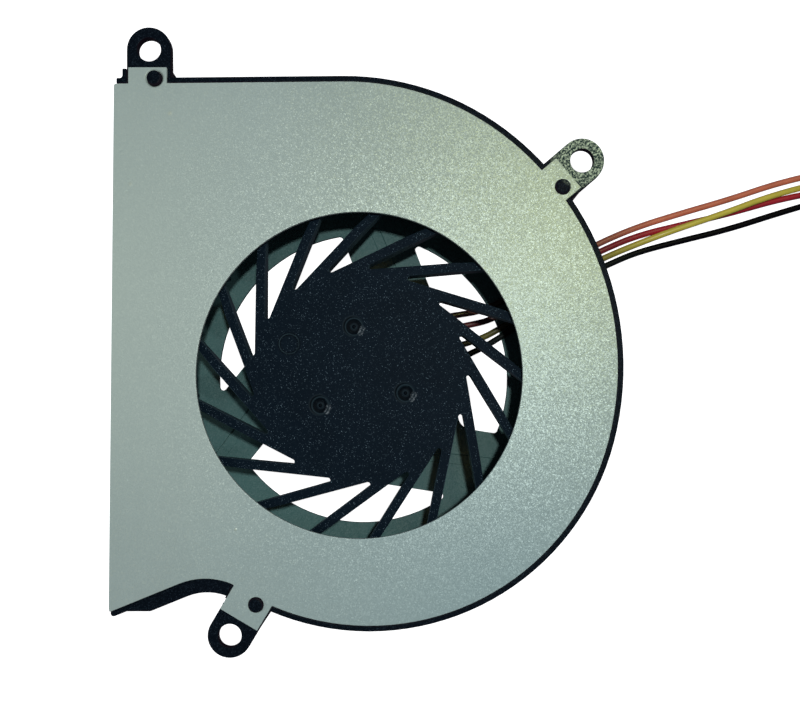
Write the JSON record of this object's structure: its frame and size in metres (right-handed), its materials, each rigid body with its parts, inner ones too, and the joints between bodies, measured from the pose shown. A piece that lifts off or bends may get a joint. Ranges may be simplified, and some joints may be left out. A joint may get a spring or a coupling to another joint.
{
  "type": "laptop blower fan",
  "caption": "Flat centrifugal blower with a scroll housing, sheet covers, a bladed impeller, fixing ears and a short wired lead.",
  "frame": {"origin": "on the impeller's axis, in the plane of the base's underside", "axes": "+Z along the impeller's axis from the base to the cover; the open side faces -X"},
  "size_m": [0.1204, 0.0806, 0.0113],
  "materials": {
    "black_plastic": "moulded, fine texture",
    "impeller_plastic": "moulded, dark blue-black",
    "galvanised_sheet": "matt zinc coat with a grey-green cast",
    "brass": "turned",
    "bronze": "sintered",
    "nylon": "natural",
    "laminations": "stamped stack",
    "copper_winding": "enamelled",
    "board": "lacquered",
    "chip_plastic": "moulded",
    "ceramic": "fired",
    "solder": "bright",
    "yoke_steel": "drawn",
    "magnet": "bonded",
    "shaft_steel": "ground",
    "connector_plastic": "moulded",
    "terminal_metal": "tinned",
    "orange_sleeve": "extruded",
    "red_sleeve": "extruded",
    "yellow_sleeve": "extruded",
    "black_sleeve": "extruded"
  },
  "bodies": {
    "frame": {"housing": "black_plastic", "top_cover": "galvanised_sheet", "base_plate": "galvanised_sheet", "bearing_housing": "brass", "sleeve_bearing": "bronze", "oil_seal": "nylon", "thrust_pad": "nylon", "stator_core": "laminations", "upper_insulator": "nylon", "lower_insulator": "nylon", "circuit_board": "board", "driver_chip": "chip_plastic", "capacitor": "ceramic", "solder_joints": "solder", "connector_housing": "connector_plastic", "connector_terminals": "terminal_metal", "orange_wire": "orange_sleeve", "red_wire": "red_sleeve", "yellow_wire": "yellow_sleeve", "black_wire": "black_sleeve", "coil_1": "copper_winding", "coil_2": "copper_winding", "coil_3": "copper_winding", "coil_4": "copper_winding", "coil_5": "copper_winding", "coil_6": "copper_winding"},
    "rotor": {"impeller": "impeller_plastic", "rotor_yoke": "yoke_steel", "ring_magnet": "magnet", "shaft": "shaft_steel", "retaining_washer": "nylon"}
  },
  "joints": [
    {"name": "impeller_spin", "type": "hinge", "parent": "frame", "child": "rotor", "pos_m": [0, 0, 0.005], "axis": [0, 0, 1], "continuous": true}
  ]
}
